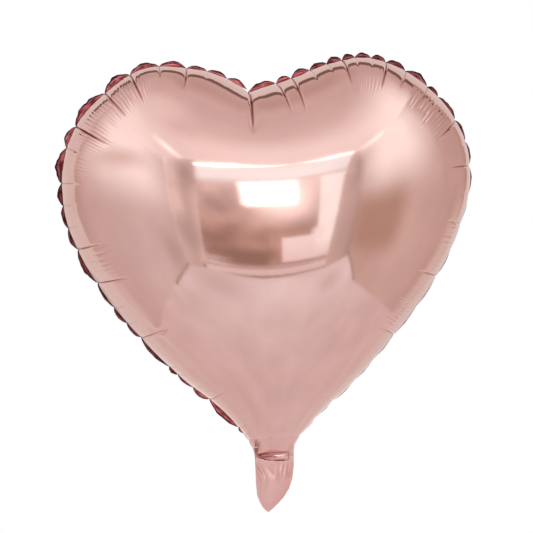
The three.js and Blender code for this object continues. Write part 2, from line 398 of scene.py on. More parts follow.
def seam_sway(at):
    """How far the seam itself wanders out of its plane, between and at the creases."""
    out = np.zeros(len(at))
    sign = 1
    for place, _, share in sorted(all_creases()):
        out += sign * SEAM_SWAY * share * np.exp(-(near(at, place) / 0.007) ** 2)
        sign = -sign
    return out


def panel_surface(at, back):
    """Front or back film: mesh points (rings, columns, 3), outward normals, painted shade of its folds, and
    the hub's point.
    """
    flat, depth, reach = flat_grid(at)
    rings = len(flat)
    u, slope = dome.value_and_slope(flat.reshape(-1, 2))
    u, slope = u.reshape(rings, -1), slope.reshape(rings, -1, 2)
    rim_error = u[0] * (1 - np.concatenate([depth / reach, np.ones((rings - len(depth), len(at)))]))
    u = np.maximum(u - rim_error, 0)
    u[0] = 0
    scale = DOME_DEPTH / math.sqrt(peak)
    height = scale * np.sqrt(u)
    outward = -1.0 if not back else 1.0
    points = np.stack([flat[..., 0], outward * height, flat[..., 1]], axis=-1)
    normals = unit(np.stack([-slope[..., 0], outward * 2 * np.sqrt(u) / scale, -slope[..., 1]], axis=-1))
    lift, fold = np.zeros((2, rings, len(at)))
    fade = 1 - smooth(0.75, 1.0, depth / reach)
    lift[:len(depth)], fold[:len(depth)] = [part * fade for part in puckers(at, depth, back)]
    points = points + normals * lift[..., None]
    sway = np.zeros_like(lift)
    dying = np.exp(-depth / 0.012) * (1 - smooth(0.7, 1.0, depth / reach))
    sway[:len(depth)] = seam_sway(at)[None] * dying
    points[..., 1] += sway
    return points, normals, fold, np.array([HUB[0], outward * DOME_DEPTH, HUB[1]])


def surface_normals(points, smooth_normals, back):
    """Normals of the puckered film near the seam, turning into the smooth dome's further in."""
    along = np.roll(points, -1, axis=1) - np.roll(points, 1, axis=1)
    inwards = np.gradient(points, axis=0)
    normals = unit(np.cross(along, inwards)) * (1 if back else -1)
    normals *= np.sign((normals * smooth_normals).sum(-1, keepdims=True))
    blend = smooth(0.8 * RIM_RINGS, RIM_RINGS, np.arange(len(points)))[:, None, None]
    return unit(normals * (1 - blend) + smooth_normals * blend)


def foil_panel(name, back, material):
    """A closed, thin film: the outer surface, and the same surface a film's thickness inside it."""
    at = column_places()
    points, normals, fold, hub = panel_surface(at, back)
    rings, columns, _ = points.shape
    inner = points - normals * FILM
    inner_hub = hub - np.array([0, FILM if back else -FILM, 0])
    vertices = np.concatenate([points.reshape(-1, 3), [hub], inner.reshape(-1, 3), [inner_hub]])
    layer = rings * columns + 1
    quads = grid_faces(rings, columns, closed=True)
    first = np.arange(columns)
    after = (first + 1) % columns
    last_ring = (rings - 1) * columns
    caps = np.stack([last_ring + first, last_ring + after, np.full(columns, rings * columns)], axis=1)
    rim = np.stack([first, first + layer, after + layer, after], axis=1)
    faces = [*quads, *caps, *(quads[:, ::-1] + layer), *(caps[:, ::-1] + layer), *rim]
    if back:
        faces = [f[::-1] for f in faces]
    film = piece(name, vertices, faces, material)
    shading = surface_normals(points, normals, back).reshape(-1, 3)
    hub_normal = [[0, 1.0 if back else -1.0, 0]]
    film.data.normals_split_custom_set_from_vertices(
        np.concatenate([shading, hub_normal, -shading, -np.array(hub_normal)]).tolist())
    lay_out_fold_shade(film, np.append(fold.ravel(), 0))
    return film


dome = Dome()
peak = dome.value_and_slope(np.array([[0, z] for z in np.linspace(0.15, 0.28, 60)]))[0].max()


# -------------------- welded flange

MOST_LOBES = 60                   # at least as many as the flange has


def flange_lobes(at):
    """The flange's lobes: share of full width, place within the lobe (0 to 1) and the lobe's number."""
    places = np.array(sorted(place for place, *_ in all_creases()))
    number = np.searchsorted(places, at) % len(places)
    start, end = places[number - 1], places[number]
    place = ((at - start) % AROUND) / ((end - start) % AROUND)
    return 0.08 + 0.92 * np.sin(np.pi * np.clip(place, 0, 1)) ** 0.85, place, number


def flange(name, material):
    """The pressed border outside the seam. It is gathered into lobes between the creases."""
    at = column_places()
    distance, _ = from_neck(at)
    rim = panel_surface(at, False)[0][0]
    outward = -inward(at, 0.004)
    full, place, number = flange_lobes(at)
    chance = np.random.default_rng(5)
    lean = np.radians(profile(at, FLANGE_RIGHT, FLANGE_LEFT, 2))
    lean = lean + chance.uniform(-0.3, 0.3, MOST_LOBES)[number] * np.sin(np.pi * place)
    width = profile(at, FLANGE_RIGHT, FLANGE_LEFT) * full * smooth(0.034, 0.052, distance)
    width = width * chance.uniform(0.8, 1.1, MOST_LOBES)[number]
    width = width * (1 - 0.08 * np.sin(at * 410 + 1) - 0.05 * np.sin(at * 830))
    rows = []
    for step in np.linspace(0, 1, FLANGE_ROWS):
        bend = lean * step ** 0.8
        ruffle = 0.0004 * full * step * np.sin(2 * np.pi * at / 0.0071 + 2 * np.sin(at * 83))
        flat = outward * (width * step * np.cos(bend))[:, None]
        rows.append(rim + np.stack([flat[:, 0], width * step * np.sin(bend) + ruffle, flat[:, 1]], axis=1))
    grid = np.stack(rows)
    along = np.roll(grid, -1, axis=1) - np.roll(grid, 1, axis=1)
    normal = unit(np.cross(along, np.gradient(grid, axis=0)))
    count, columns, _ = grid.shape
    layer = count * columns
    quads = grid_faces(count, columns, closed=True)
    first = np.arange(columns)
    after = (first + 1) % columns
    top = layer - columns
    inner_rim = np.stack([first, after, after + layer, first + layer], axis=1)
    outer_rim = np.stack([top + first, top + first + layer, top + after + layer, top + after], axis=1)
    faces = [*quads[:, ::-1], *(quads + layer), *inner_rim[:, ::-1], *outer_rim[:, ::-1]]
    points = np.concatenate([(grid + normal * FILM).reshape(-1, 3), (grid - normal * FILM).reshape(-1, 3)])
    edge = piece(name, points, faces, material)
    # u runs round the heart in metres and v across the flange, from 0 at the seam to 1 at the edge.
    across = np.repeat(np.linspace(0, 1, count)[:, None], columns, axis=1)
    around = np.repeat(at[None], count, axis=0)
    uv = np.tile(np.stack([around, across], axis=-1).reshape(-1, 2), (2, 1))
    lay_out(edge, "along_and_across", uv)
    return edge


# -------------------- tail

# Its two sides, as (height, x), from the dome down to the mouth, which is folded to a point.
TAIL_LEFT = [
    (0.016, -0.024), (0.0105, -0.0212), (0.005, -0.0192), (-0.001, -0.0179), (-0.006, -0.0176),
    (-0.017, -0.0176), (-0.029, -0.0178), (-0.041, -0.0174), (-0.048, -0.0152), (-0.053, -0.0126),
    (-0.0555, -0.0106), (-0.0568, -0.0088),
]
TAIL_RIGHT = [
    (0.016, 0.0258), (0.0105, 0.023), (0.005, 0.0208), (-0.001, 0.0196), (-0.006, 0.0194),
    (-0.0155, 0.019), (-0.027, 0.017), (-0.036, 0.0136), (-0.044, 0.0082), (-0.05, 0.0022),
    (-0.0545, -0.003), (-0.0568, -0.0068),
]
NECK_TOP = 0.016                  # height of the neck piece's top edge
FUNNEL_TOP = 0.015                # height where the neck piece lies on the dome
FUNNEL_BOTTOM = -0.003            # height where it has narrowed to the tail's depth
TAIL_SPLIT = -0.0102              # height where the neck piece hands over to the tail's skins
TAIL_END = -0.0568                # height of its point
INLET_TOP, INLET_END = -0.011, -0.053      # heights of the clear sheets inside it
INLET_MARGIN = 0.0035             # from the tail's sides to theirs
INLET_UNDER = 0.0007              # from the tail's film to them
TAIL_GAP = 0.0012                 # from the seam plane to the film at the tail's sides
TAIL_COLUMNS = 110
# Creases in the neck and tail: from (x, z) to (x, z), depth, width, how dark the painted shade along them
# is.
TAIL_CREASES = [
    ((-0.0168, 0.014), (-0.0166, -0.003), 0.0018, 0.0013, 1.3),
    ((-0.0142, 0.0118), (-0.016, -0.0035), 0.0016, 0.0011, 1.2),
    ((-0.0168, 0.008), (-0.015, 0.002), 0.0006, 0.0006, 0.7),
    ((-0.012, 0.013), (-0.0128, 0.002), 0.0006, 0.0008, 0.2),
    ((0.0185, 0.012), (0.0165, 0.002), 0.0008, 0.0008, 0.3),
    ((0.015, 0.009), (0.0148, -0.001), 0.0007, 0.0008, 0.2),
    ((-0.0168, -0.003), (-0.004, -0.0008), 0.0018, 0.001, 1.3),
    ((-0.004, -0.0008), (0.0145, -0.0012), 0.0016, 0.0007, 1.0),
    ((-0.0168, -0.0036), (-0.003, -0.0084), 0.002, 0.0008, 1.2),
    ((-0.003, -0.0084), (0.014, -0.0092), 0.0018, 0.0008, 1.1),
    ((0.0145, -0.0012), (0.014, -0.0092), 0.0009, 0.0006, 0.8),
    ((-0.0155, -0.0034), (0.002, -0.005), 0.001, 0.0012, 1.3),
    ((-0.0173, -0.01), (-0.0122, -0.022), 0.0015, 0.0008, 0.5),
    ((-0.015, -0.009), (-0.0085, -0.024), 0.0008, 0.0009, 0.25),
    ((-0.0168, -0.016), (-0.013, -0.03), 0.0007, 0.0008, 0.2),
    ((-0.007, -0.012), (-0.001, -0.023), 0.0009, 0.0012, 0.15),
    ((0.004, -0.011), (0.001, -0.03), 0.0009, 0.0014, 0.15),
    ((0.01, -0.012), (0.0065, -0.026), 0.0009, 0.001, 0.2),
    ((0.014, -0.012), (0.012, -0.024), 0.0007, 0.001, 0.2),
    ((0.003, -0.02), (0.0045, -0.034), 0.0006, 0.0012, 0.1),
    ((-0.007, -0.02), (-0.011, -0.036), 0.0006, 0.0012, 0.1),
]


def line_distance(x, z, a, b):
    """Distance from points to a segment, and how far along it they are, from 0 to 1."""
    ab = np.array(b) - np.array(a)
    t = np.clip(((x - a[0]) * ab[0] + (z - a[1]) * ab[1]) / (ab @ ab), 0, 1)
    return np.hypot(x - a[0] - t * ab[0], z - a[1] - t * ab[1]), t


def tail_relief(x, z):
    """Creases and soft swells of the neck's and tail's film, and how much painted shade its folds get, from
    0 to 1.
    """
    out = 0.0005 * np.sin(x * 300 + z * 70 + 0.6) * smooth(-0.01, -0.02, z)
    out = out + 0.0003 * np.sin(x * 150 - z * 210 + 2.0) * smooth(-0.012, -0.03, z)
    fold = np.zeros_like(out)
    for a, b, depth, width, dark in TAIL_CREASES:
        gap, t = line_distance(x, z, a, b)
        ends = 1 - 0.6 * np.abs(2 * t - 1) ** 2
        out = out - depth * np.exp(-gap / width) * ends
        fold = np.maximum(fold, dark * np.exp(-(gap / width) ** 1.5) * ends)
    return out, np.clip(fold, 0, 1)


def tail_sides(z):
    return [np.interp(-z, [-p[0] for p in side], [p[1] for p in side]) for side in (TAIL_LEFT, TAIL_RIGHT)]


def tail_grid(top, bottom, rows, columns, margin=0.0):
    """Points across the tail, row by row, and how far each lies across it, from -1 to 1."""
    z = np.linspace(top, bottom, rows)
    left, right = tail_sides(z)
    middle, half = (left + right) / 2, np.maximum((right - left) / 2 - margin, 0.0003)
    across = -np.cos(np.pi * np.linspace(0, 1, columns))
    x = middle[:, None] + half[:, None] * across[None]
    share = (x - middle[:, None]) / ((right - left)[:, None] / 2)
    return x, np.repeat(z[:, None], columns, axis=1), share


def belly(share):
    return np.clip(1 - np.abs(share) ** 2.4, 0, 1) ** 0.75


def front_depth(x, z, share):
    """How far the tail's front film stands from the seam plane."""
    swell = 0.0026 + 0.0046 * smooth(-0.009, -0.028, z) - 0.0026 * smooth(-0.046, TAIL_END, z)
    pleat = 0.002 * np.exp(-((z + 0.0052) / 0.0034) ** 2)
    return TAIL_GAP + belly(share) * (swell + pleat)


def back_depth(x, z, share):
    return TAIL_GAP + belly(share) * 0.0014


def film_depth(x, z, share, back):
    """How far a film stands from the seam plane: the tail's, widening like a funnel up to the dome."""
    tail = (back_depth if back else front_depth)(x, np.minimum(z, FUNNEL_BOTTOM), share)
    rise = np.clip((z - FUNNEL_BOTTOM) / (FUNNEL_TOP - FUNNEL_BOTTOM), 0, 1)
    on_dome = np.stack([x, np.maximum(z, FUNNEL_TOP)], axis=-1)
    u = dome.value_and_slope(on_dome.reshape(-1, 2))[0].reshape(x.shape)
    mouth = DOME_DEPTH * np.sqrt(np.maximum(u, 0) / peak) + 0.00025
    middle = tail + (mouth - tail) * rise ** 0.82
    full = belly(share) + (1 - belly(share)) * smooth(0.002, FUNNEL_TOP, z)
    tuck = 0.0006 * smooth(FUNNEL_TOP - 0.0006, NECK_TOP, z)      # sinks its top edge under the dome
    funnel = TAIL_GAP + (middle - TAIL_GAP) * full - tuck
    return np.where(z > FUNNEL_BOTTOM, funnel, tail)


def tail_film(name, back, top, bottom, rows, material, margin=0.0, under=0.0):
    """A closed film across the tail: its outer face, and the same face a film's thickness inside it.

    margin draws it in from the tail's sides, and under sinks it below the skin."""
    x, z, share = tail_grid(top, bottom, rows, TAIL_COLUMNS, margin)
    relief, fold = tail_relief(-x if back else x, z)
    inside = smooth(0.0, 0.3, 1 - np.abs(share))
    depth = film_depth(x, z, share, back) + relief * inside * (0.5 if back else 1) - under
    outer = np.stack([x, depth if back else -depth, z], axis=-1)
    inner = outer + [0, -FILM if back else FILM, 0]
    rows_count, columns, _ = outer.shape
    layer = rows_count * columns
    quads = grid_faces(rows_count, columns, closed=False)
    rim = [*range(columns), *[r * columns + columns - 1 for r in range(1, rows_count)],
           *[layer - columns + c for c in range(columns - 2, -1, -1)],
           *[r * columns for r in range(rows_count - 2, 0, -1)]]
    sides = [[a, a + layer, b + layer, b] for a, b in zip(rim, rim[1:] + rim[:1])]
    faces = [*quads, *(quads[:, ::-1] + layer), *sides]
    if not back:
        faces = [f[::-1] for f in faces]
    film = piece(name, np.concatenate([outer.reshape(-1, 3), inner.reshape(-1, 3)]), faces, material)
    lay_out_fold_shade(film, fold.ravel())
    return film


# -------------------- materials

FOLD_SHADE_COLOUR = (0.3, 0.062, 0.055)     # painted shade of the film down in a crease, standing in for the film mirroring itself there
FOLD_SHADE_STRENGTH = 0.85
# How light the flange's colour is, round the heart from the neck (0) up its right side and back (1).
FLANGE_LIGHTNESS = [
    (0.27, 0.5), (0.45, 0.55), (0.475, 1.0), (0.52, 0.95), (0.58, 0.8), (0.69, 0.75), (0.72, 0.38),
    (0.905, 0.38), (0.925, 1.0),
]


def new_material(name):
    """A material, its nodes, and a function that links one node's output to another node's input."""
    material = bpy.data.materials.new(name)
    material.use_nodes = True
    tree = material.node_tree

    def link(source, output, target, socket):
        tree.links.new(source.outputs[output], target.inputs[socket])

    return material, tree.nodes, link


def add(n, kind, **values):
    """A new shader node. Its settings are in lower case and its inputs capitalised, with _ for a space."""
    node = n.new("ShaderNode" + kind)
    for name, value in values.items():
        if name[0].islower():
            setattr(node, name, value)
        else:
            node.inputs[name.replace("_", " ")].default_value = value
    return node


def ramp(n, stops):
    """A colour ramp with a colour at each position."""
    node = add(n, "ValToRGB")
    elements = node.color_ramp.elements
    while len(elements) < len(stops):
        elements.new(0.5)
    for element, (position, colour) in zip(elements, stops):
        element.position = position
        element.color = (*colour, 1)
    return node


def vary_roughness(n, link, source, low, high):
    haze = add(n, "MapRange", To_Min=low, To_Max=high)
    link(source, "Fac", haze, "Value")
    link(haze, "Result", n["Principled BSDF"], "Roughness")


def emboss(n, link, source, strength, distance):
    bump = add(n, "Bump", Strength=strength, Distance=distance)
    link(source, "Fac", bump, "Height")
    link(bump, "Normal", n["Principled BSDF"], "Normal")


def metallised_film(name, colour, darker, roughness, crinkle):
    """Mirror-bright film: a faint mottling in its colour and roughness, painted shade in its folds and a
    fine crinkle.
    """
    material, n, link = new_material(name)
    shader = n["Principled BSDF"]
    shader.inputs["Metallic"].default_value = 1.0
    coords = add(n, "TexCoord")
    mottle = add(n, "TexNoise", Scale=14, Detail=4)
    link(coords, "Object", mottle, "Vector")
    tint = add(n, "Mix", data_type="RGBA", A=(*darker, 1), B=(*colour, 1))
    spread = add(n, "MapRange", From_Min=0.35, From_Max=0.65)
    link(mottle, "Fac", spread, "Value")
    link(spread, "Result", tint, "Factor")
    place = add(n, "UVMap", uv_map="fold")
    split = add(n, "SeparateXYZ")
    link(place, "UV", split, "Vector")
    # Painted shade: the colour darkens where the film is creased, standing in for the film mirroring itself
    # there.
    shade = add(n, "Mix", data_type="RGBA", B=(*FOLD_SHADE_COLOUR, 1))
    deep = add(n, "MapRange", To_Max=FOLD_SHADE_STRENGTH)
    link(split, "X", deep, "Value")
    link(deep, "Result", shade, "Factor")
    link(tint, "Result", shade, "A")
    link(shade, "Result", shader, "Base Color")
    vary_roughness(n, link, mottle, roughness * 0.8, roughness * 1.25)
    grain = add(n, "TexNoise", Scale=260, Detail=3)
    link(coords, "Object", grain, "Vector")
    emboss(n, link, grain, crinkle, 0.0002)
    return material


def film_material(name, colour, roughness, alpha):
    """Plain film or ink with faint streaks in its colour and roughness."""
    material, n, link = new_material(name)
    shader = n["Principled BSDF"]
    shader.inputs["Alpha"].default_value = alpha
    coords = add(n, "TexCoord")
    streaks = add(n, "TexWave", Scale=60, Distortion=6)
    link(coords, "Object", streaks, "Vector")
    tint = add(n, "Mix", data_type="RGBA", A=(*[c * 0.88 for c in colour], 1), B=(*colour, 1))
    link(streaks, "Fac", tint, "Factor")
    link(tint, "Result", shader, "Base Color")
    vary_roughness(n, link, streaks, roughness * 0.8, roughness * 1.2)
    return material


def pressed_weld(name):
    """Wine-red metallised border: streaks of painted highlight and painted shade across it for its
    crinkles, painted shade along its outer edge, and stretches that are darker and lighter round the heart.
    """
    material, n, link = new_material(name)
    shader = n["Principled BSDF"]
    shader.inputs["Metallic"].default_value = 1.0
    place = add(n, "UVMap", uv_map="along_and_across")
    split = add(n, "SeparateXYZ")
    link(place, "UV", split, "Vector")
    stretch = add(n, "Mapping", Scale=(110, 3.2, 1))
    link(place, "UV", stretch, "Vector")
    streaks = add(n, "TexNoise", Scale=1.0, Detail=4)
    link(stretch, "Vector", streaks, "Vector")
    # The streaks mix the weld's own wine-red with painted highlights and painted shade of its crinkles.
    lit_and_shaded_reds = ramp(n, [(0.42, (0.17, 0.034, 0.04)), (0.6, (0.8, 0.228, 0.21))])
    link(streaks, "Fac", lit_and_shaded_reds, "Fac")
    # Painted shade along the flange's outer edge.
    border = ramp(n, [(0.52, (1, 1, 1)), (0.84, (0.1, 0.12, 0.2))])
    link(split, "Y", border, "Fac")
    darken = add(n, "Mix", data_type="RGBA", blend_type="MULTIPLY", Factor=1.0)
    link(lit_and_shaded_reds, "Color", darken, "A")
    link(border, "Color", darken, "B")
    round_heart = add(n, "MapRange", From_Max=AROUND)
    link(split, "X", round_heart, "Value")
    lightness_round_heart = ramp(n, [(position, (level, level * 0.94, level)) for position, level in FLANGE_LIGHTNESS])
    link(round_heart, "Result", lightness_round_heart, "Fac")
    deepen = add(n, "Mix", data_type="RGBA", blend_type="MULTIPLY", Factor=1.0)
    link(darken, "Result", deepen, "A")
    link(lightness_round_heart, "Color", deepen, "B")
    link(deepen, "Result", shader, "Base Color")
    vary_roughness(n, link, streaks, 0.2, 0.42)
    emboss(n, link, streaks, 0.5, 0.0004)
    return material


rose_gold = metallised_film("rose_gold_film", (0.9, 0.6, 0.545), (0.87, 0.565, 0.505), 0.08, 0.05)
soft_gold = metallised_film("rose_gold_tail_film", (0.9, 0.575, 0.535), (0.84, 0.485, 0.44), 0.4, 0.16)
neck_gold = metallised_film("rose_gold_neck_film", (0.9, 0.585, 0.54), (0.87, 0.535, 0.48), 0.18, 0.1)
weld_red = pressed_weld("pressed_weld")
clear_film = film_material("clear_valve_film", (0.9, 0.89, 0.86), 0.25, 0.55)
ink = film_material("release_print", (0.66, 0.71, 0.68), 0.6, 1.0)


# -------------------- assembly of the balloon

def build_balloon():
    for name, back in (("front_foil", False), ("back_foil", True)):
        panel = foil_panel(name + "_skin", back, rose_gold)
        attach(panel, "heart")
        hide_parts(name)
    edge = flange("seam_flange", weld_red)
    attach(edge, "heart")
    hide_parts("seam_weld")

    neck_rows, tail_rows, inlet_rows = 90, 110, 54
    for name, back in (("neck_front_skin", False), ("neck_back_skin", True)):
        neck = tail_film(name, back, NECK_TOP, TAIL_SPLIT - FILM, neck_rows, neck_gold)
        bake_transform(neck)
    front = tail_film("tail_front_skin", False, TAIL_SPLIT, TAIL_END, tail_rows, soft_gold)
    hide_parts("tail_front_foil")
    back = tail_film("tail_back_skin", True, TAIL_SPLIT, TAIL_END, tail_rows, soft_gold)
    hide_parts("tail_back_foil", "tail_weld_left", "tail_weld_right")
    inlet = (INLET_TOP, INLET_END, inlet_rows, clear_film, INLET_MARGIN, INLET_UNDER)
    inlet_front = tail_film("inlet_front_sheet", False, *inlet)
    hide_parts("inlet_front_film")
    inlet_back = tail_film("inlet_back_sheet", True, *inlet)
    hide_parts("inlet_back_film")
    for film in (front, inlet_front):
        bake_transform(film)
    for film in (back, inlet_back):
        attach(film, "tail")

    for name, material in (("valve_front_film", clear_film), ("valve_back_film", clear_film),
                           ("valve_release_print", ink)):
        nodes[name].data.materials.clear()
        nodes[name].data.materials.append(material)


# -------------------- studio

BRIGHTEST = 3                 # a panel's ramp holds its colours as shares of this brightness
WHITE = (2.6, 2.6, 2.6)
PALE = (1.1, 1.3, 1.37)
BROWN = (0.52, 0.39, 0.34)
LINE = (0.2, 0.13, 0.11)
CORNER_LINE = (0.36, 0.29, 0.26)
PAPER = [(0, (0.74, 0.72, 0.71)), (1, (0.76, 0.74, 0.73))]
FRONT = -0.5                  # the tent's front wall, with an opening on to the room
REAR = 0.5                    # white paper behind the balloon
BEHIND = REAR - 0.02          # the room's other side, in front of that paper

# Strips on the front wall: name, from and to as (x, z), how far in front of it, width, colour.
WALL_STRIPS = [
    ("top_line_left", (-0.168, 0.509), (-0.02, 0.541), 0.002, 0.024, WHITE),
    ("top_line_middle", (-0.02, 0.541), (0.1, 0.55), 0.002, 0.024, WHITE),
    ("top_line_right", (0.1, 0.55), (0.292, 0.536), 0.002, 0.024, WHITE),
    ("box_line", (0.06, 0.081), (0.226, 0.083), 0.002, 0.008, (0.45, 0.36, 0.34)),
    ("sill", (-0.232, 0.056), (0.229, 0.06), 0.001, 0.036, (0.84, 0.79, 0.78)),
    ("sill_top_line", (-0.236, 0.062), (0.229, 0.074), 0.002, 0.005, (0.42, 0.34, 0.32)),
    ("sill_line_left", (-0.246, 0.046), (-0.02, 0.036), 0.003, 0.01, LINE),
    ("sill_line_right", (-0.02, 0.036), (0.231, 0.044), 0.003, 0.01, LINE),
]
# Soft lights and shades near it: name, x, z, how far in front of it, half width, half height, colour, core.
WALL_LIGHTS = [
    ("left_smudge", -0.212, 0.45, 0.004, 0.062, 0.13, (0.5, 0.44, 0.41), 0),
    ("left_jamb_glow", -0.278, 0.32, 0.006, 0.048, 0.13, (0.88, 0.83, 0.82), 0.05),
    ("right_smudge", 0.33, 0.445, 0.004, 0.062, 0.125, (0.48, 0.41, 0.38), 0),
    ("softbox_halo", 0.078, 0.34, -0.004, 0.14, 0.14, (1.45, 1.42, 1.4), 0.05),
    ("low_table", -0.055, 0.103, -0.003, 0.135, 0.05, (0.33, 0.24, 0.2), 0.15),
    ("softbox", 0.028, 0.374, 0.0, 0.09, 0.07, (3.0, 3.0, 3.0), 0.34),
    ("pale_fillet", 0.18, 0.185, 0.001, 0.034, 0.034, (1.05, 1.12, 1.15), 0.1),
    ("left_low_smudge", -0.238, 0.175, 0.05, 0.064, 0.11, (0.54, 0.48, 0.46), 0),
    ("right_low_shade", 0.28, -0.04, -0.01, 0.1, 0.085, (0.71, 0.67, 0.68), 0),
    ("left_low_shade", -0.205, -0.03, -0.01, 0.24, 0.13, (0.68, 0.64, 0.65), 0),
]
# The other soft lights and shades: name, centre, half across, half up, colour, core.
TENT_LIGHTS = [
    # Lamps outside the tent that shine through its two upper front corners.
    ("left_lamp", (-0.345, -0.24, 0.47), (-0.062, 0.31, 0.03), (0, 0.04, 0.27), (1.12, 1.2, 1.23), 0.1),
    ("left_lamp_shade", (-0.325, -0.2, 0.395), (0.04, -0.26, 0.078), (0, 0, 0.07), (0.82, 0.775, 0.755), 0),
    ("right_lamp", (0.365, -0.31, 0.47), (0.052, 0.24, 0), (0, 0, 0.26), (1.18, 1.3, 1.32), 0.08),
    ("left_ceiling_lamp", (-0.36, -0.24, 0.59), (0.26, 0, 0), (0, 0.34, 0.1), (1.1, 1.14, 1.16), 0.06),
    ("right_ceiling_lamp", (0.38, -0.24, 0.594), (0.27, 0, 0), (0, 0.3, 0.088), (1.16, 1.24, 1.26), 0.06),
    ("middle_ceiling_lamp", (0.05, -0.46, 0.555), (0.45, 0, 0), (0, 0.18, 0.052), (1.05, 1.05, 1.06), 0.08),
    # Uneven light on the side walls.
    ("left_wall_smudge", (-0.318, -0.42, 0.09), (-0.016, 0.085, 0), (0, 0, 0.115), (0.55, 0.49, 0.47), 0),
    ("right_wall_smudge", (0.349, -0.43, 0.36), (0.022, 0.065, 0), (0, 0, 0.075), (0.54, 0.45, 0.42), 0),
    ("left_rear_haze", (-0.414, 0.02, -0.04), (-0.018, 0.09, 0), (0, 0, 0.2), (0.7, 0.64, 0.625), 0.05),
    ("right_rear_haze", (0.466, 0.13, 0.00), (0.024, 0.14, 0), (0, 0, 0.25), (0.73, 0.67, 0.65), 0.1),
    ("right_shade", (0.356, -0.38, 0.19), (0.034, 0.16, 0), (0, 0, 0.165), (0.5, 0.38, 0.32), 0.2),
    # Behind the balloon: two windows and a sheen on the floor.
    ("back_window_left", (-0.13, BEHIND - 0.01, 0.37), (0.075, 0, 0), (0, 0, 0.095), (2.4, 2.4, 2.4), 0.4),
    ("back_window_right", (0.08, BEHIND - 0.01, 0.37), (0.075, 0, 0), (0, 0, 0.095), (2.2, 2.2, 2.2), 0.4),
    ("back_floor_sheen", (0.0, 0.36, -0.1), (0.35, 0, 0), (0, 0.08, 0.1), (0.98, 0.96, 0.95), 0.05),
    # Streaks where the ceiling meets the walls, and uneven light on the ceiling and the paper above.
    ("left_streak", (-0.238, -0.41, 0.562), (-0.038, 0.108, 0.028), (0.012, -0.004, 0.022),
     (1.9, 1.9, 1.9), 0.05),
    ("right_streak", (0.353, -0.36, 0.546), (0.062, 0.15, 0.008), (-0.007, 0.002, 0.015),
     (1.7, 1.7, 1.7), 0.05),
    ("ceiling_left_glow", (-0.14, -0.19, 0.615), (0.12, 0, 0), (0, 0.13, 0.035), (0.88, 0.84, 0.84), 0.05),
    ("ceiling_right_shade", (0.025, 0.02, 0.665), (0.13, 0, 0), (0, 0.14, 0.035),
     (0.57, 0.455, 0.43), 0.05),
    ("top_paper_shade", (0.12, 0.34, 0.9), (0.3, 0, 0), (0, 0.16, 0.16), (0.58, 0.51, 0.49), 0.1),
]


def light_material(name):
    """A material without a shader yet, and its coordinates: whole, and split along the panel's sides."""
    material, n, link = new_material(name)
    n.remove(n["Principled BSDF"])
    coords = add(n, "TexCoord")
    split = add(n, "SeparateXYZ")
    link(coords, "UV", split, "Vector")
    return material, n, link, coords, split


def glow(name, stops, along, blotches):
    """A light that changes along one direction of the panel, with soft blotches: cloth lit unevenly."""
    material, n, link, coords, split = light_material(name)
    colours = ramp(n, [(position, [c / BRIGHTEST for c in colour]) for position, colour in stops])
    colours.color_ramp.interpolation = "EASE"
    link(split, "X" if along == "U" else "Y", colours, "Fac")
    cloud = add(n, "TexNoise", Scale=7, Detail=3)
    link(coords, "Object", cloud, "Vector")
    strength = add(n, "MapRange", From_Min=0.3, From_Max=0.7,
                   To_Min=BRIGHTEST * (1 - blotches), To_Max=BRIGHTEST * (1 + blotches))
    link(cloud, "Fac", strength, "Value")
    light = add(n, "Emission")
    link(colours, "Color", light, "Color")
    link(strength, "Result", light, "Strength")
    link(light, "Emission", n["Material Output"], "Surface")
    return material


def quad(name, corners, material):
    """A flat piece of the light tent round the balloon, seen only in the balloon's film."""
    mesh = bpy.data.meshes.new(name)
    mesh.from_pydata([list(c) for c in corners], [], [[0, 1, 2, 3]])
    mesh.uv_layers.new(name="UVMap").data.foreach_set("uv", [0, 0, 1, 0, 1, 1, 0, 1])
    mesh.materials.append(material)
    obj = new_object(name, mesh)
    obj.visible_camera = False
    obj.visible_shadow = False


def panel(name, corners, stops, along="V", blotches=0.06):
    quad(name, corners, glow(name, stops, along, blotches))


def upright(name, y, x0, x1, z0, z1, stops, blotches=0.06):
    panel(name, [(x0, y, z0), (x1, y, z0), (x1, y, z1), (x0, y, z1)], stops, "V", blotches)


def strip(name, a, b, width, colour):
    """A narrow straight strip between two points, facing the balloon."""
    a, b = Vector(a), Vector(b)
    side = (b - a).cross((a + b) / 2 - Vector((0, -0.05, 0.2))).normalized() * (width / 2)
    panel(name, [a - side, b - side, b + side, a + side], [(0, colour), (1, colour)], "U", 0)


def soft_light(name, centre, across, up, colour, core):
    """A patch of light that fades out from its core, which is given as a share of the patch."""
    material, n, link, _, split = light_material(name)
    both = add(n, "Math", operation="MULTIPLY")
    for socket, axis in enumerate("XY"):
        away = add(n, "Math", operation="PINGPONG")
        away.inputs[1].default_value = 0.5
        link(split, axis, away, 0)
        fade = add(n, "MapRange", interpolation_type="SMOOTHSTEP", From_Max=0.5 - core)
        link(away, "Value", fade, "Value")
        link(fade, "Result", both, socket)
    light = add(n, "Emission", Color=(*colour, 1))
    clear = add(n, "BsdfTransparent")
    mix = add(n, "MixShader")
    link(both, "Value", mix, "Fac")
    link(clear, "BSDF", mix, 1)
    link(light, "Emission", mix, 2)
    link(mix, "Shader", n["Material Output"], "Surface")
    c, a, u = Vector(centre), Vector(across), Vector(up)
    quad(name, [c - a - u, c + a - u, c + a + u, c - a + u], material)


